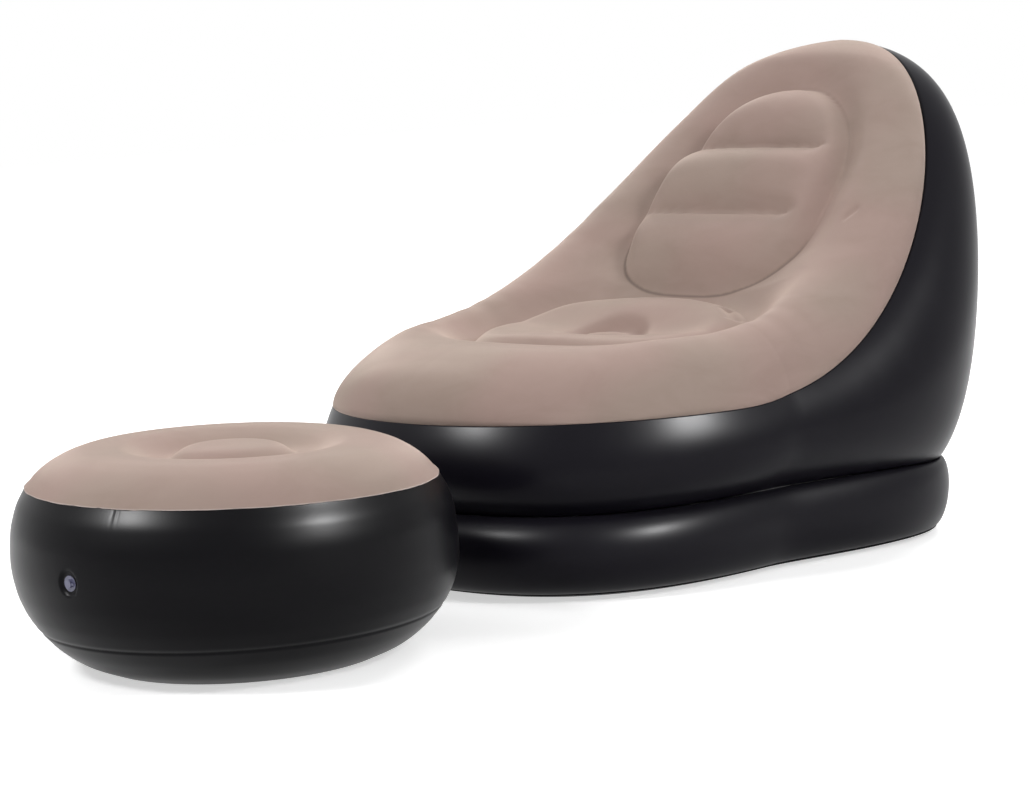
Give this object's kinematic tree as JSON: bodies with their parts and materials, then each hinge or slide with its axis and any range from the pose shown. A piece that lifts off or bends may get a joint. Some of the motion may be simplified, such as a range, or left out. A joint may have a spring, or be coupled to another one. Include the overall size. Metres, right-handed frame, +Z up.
{
  "type": "inflatable lounge chair",
  "caption": "Wide inflatable lounge chair with a taupe flocked top over dark smooth vinyl sides, and a matching round footstool in front.",
  "frame": {"origin": "on the floor, at the middle of the chair's bottom sheet", "axes": "+Y towards the backrest, so the chair faces -Y; +X to the occupant's left; +Z up. The footstool stands in front of the chair, a little towards +X."},
  "size_m": [0.886, 1.8298, 0.7685],
  "materials": {
    "flocked": "velvety taupe flock on vinyl sheet",
    "dark_vinyl": "smooth satin charcoal vinyl sheet",
    "tie_sheet": "plain grey vinyl sheet",
    "valve_plastic": "satin dark plastic",
    "clear_valve": "clear bluish soft plastic"
  },
  "bodies": {
    "chair": {"chair_top_panel": "flocked", "chair_side_wall": "dark_vinyl", "chair_base_wall": "dark_vinyl", "chair_bottom_sheet": "dark_vinyl", "chair_waist_diaphragm": "tie_sheet", "chair_seat_ring_tie": "tie_sheet", "chair_seat_centre_tie": "tie_sheet", "chair_back_ring_tie": "tie_sheet", "chair_back_lower_tie": "tie_sheet", "chair_back_upper_tie": "tie_sheet", "chair_valve_base": "valve_plastic"},
    "chair_plug": {"chair_valve_plug": "valve_plastic"},
    "chair_cap": {"chair_valve_cap": "valve_plastic"},
    "chair_flap": {"chair_valve_flap": "valve_plastic"},
    "ottoman": {"ottoman_top_panel": "flocked", "ottoman_side_wall": "dark_vinyl", "ottoman_bottom_sheet": "dark_vinyl", "ottoman_ring_tie": "tie_sheet", "ottoman_centre_tie": "tie_sheet", "ottoman_valve_body": "clear_valve"},
    "ottoman_stopper": {"ottoman_valve_stopper": "clear_valve"},
    "ottoman_flap": {"ottoman_valve_flap": "clear_valve"}
  },
  "joints": [
    {"name": "ottoman_place", "type": "slide", "parent": "chair", "child": "ottoman", "axis": [0, -1, 0], "range_m": [0, 0.4]},
    {"name": "chair_plug_out", "type": "slide", "parent": "chair", "child": "chair_plug", "axis": [0.0485, 0.9142, -0.4023], "range_m": [0, 0.03]},
    {"name": "chair_cap_open", "type": "hinge", "parent": "chair_plug", "child": "chair_cap", "pos_m": [0.12496, 0.53475, 0.22227], "axis": [0.0213, 0.4017, 0.9155], "range_deg": [0, 150]},
    {"name": "chair_flap_open", "type": "hinge", "parent": "chair_plug", "child": "chair_flap", "pos_m": [0.12873, 0.52267, 0.22748], "axis": [-0.0213, -0.4017, -0.9155], "range_deg": [0, 60], "stiffness_Nm_per_rad": 0.00002},
    {"name": "ottoman_stopper_out", "type": "hinge", "parent": "ottoman", "child": "ottoman_stopper", "pos_m": [0.15321, -1.12006, 0.15047], "axis": [0.003, -0.0281, 0.9996], "range_deg": [0, 150]},
    {"name": "ottoman_flap_open", "type": "hinge", "parent": "ottoman", "child": "ottoman_flap", "pos_m": [0.14756, -1.10078, 0.15103], "axis": [-0.003, 0.0281, -0.9996], "range_deg": [0, 60], "stiffness_Nm_per_rad": 0.00002}
  ]
}
